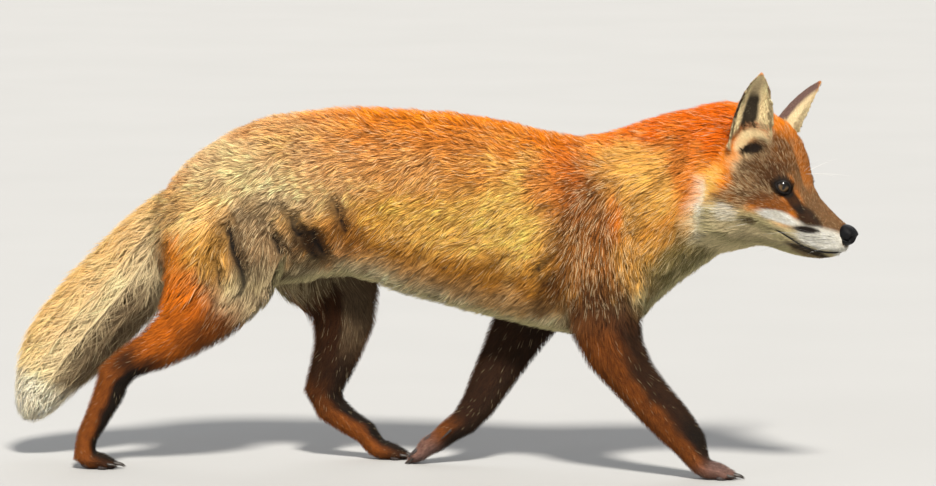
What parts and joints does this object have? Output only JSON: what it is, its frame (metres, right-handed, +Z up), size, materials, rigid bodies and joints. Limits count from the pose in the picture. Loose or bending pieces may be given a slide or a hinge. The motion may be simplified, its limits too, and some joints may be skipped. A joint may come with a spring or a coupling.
{
  "type": "red fox",
  "caption": "Still, life-size red fox in mid-stride: the whole animal with its coat, head low and turned to its right, brush hanging, resting on its paws.",
  "frame": {"origin": "centre of the model's box on the ground, under the belly", "axes": "+X the way the fox walks, from tail to nose; +Y the fox's left side; +Z up, the soles on Z = 0"},
  "size_m": [0.9068, 0.1526, 0.429],
  "materials": {
    "red_coat": "fur, orange-red, ticked on the shoulders and haunches",
    "sandy_coat": "fur, sandy and grizzled",
    "dark_coat": "short fur, dark brown to black",
    "pale_coat": "fur, cream to grey-white",
    "nose_leather": "bare, moist, finely pebbled skin",
    "eye": "wet, amber iris with an upright slit pupil",
    "claw": "horn, dark, semi-matt"
  },
  "bodies": {
    "root": {"head": "red_coat", "belly": "red_coat", "chest": "red_coat", "neck": "red_coat", "foreleg_right_shoulder": "red_coat", "foreleg_left_shoulder": "red_coat", "hindleg_right_thigh": "red_coat", "hindleg_left_thigh": "red_coat", "rump": "sandy_coat", "tail_root": "sandy_coat", "tail_brush": "sandy_coat", "ear_right": "dark_coat", "ear_left": "dark_coat", "foreleg_right_forearm": "dark_coat", "foreleg_right_paw": "dark_coat", "foreleg_left_forearm": "dark_coat", "foreleg_left_paw": "dark_coat", "hindleg_right_shank": "dark_coat", "hindleg_right_metatarsus": "dark_coat", "hindleg_right_paw": "dark_coat", "hindleg_left_shank": "dark_coat", "hindleg_left_metatarsus": "dark_coat", "hindleg_left_paw": "dark_coat", "jaw": "pale_coat", "tail_tip": "pale_coat", "nose": "nose_leather", "eye_right": "eye", "eye_left": "eye", "claw_fore_right_1": "claw", "claw_fore_right_2": "claw", "claw_fore_right_3": "claw", "claw_fore_right_4": "claw", "claw_fore_right_5": "claw", "claw_fore_left_1": "claw", "claw_fore_left_2": "claw", "claw_fore_left_3": "claw", "claw_fore_left_4": "claw", "claw_fore_left_5": "claw", "claw_hind_right_1": "claw", "claw_hind_right_2": "claw", "claw_hind_right_3": "claw", "claw_hind_right_4": "claw", "claw_hind_left_1": "claw", "claw_hind_left_2": "claw", "claw_hind_left_3": "claw", "claw_hind_left_4": "claw"}
  },
  "joints": []
}
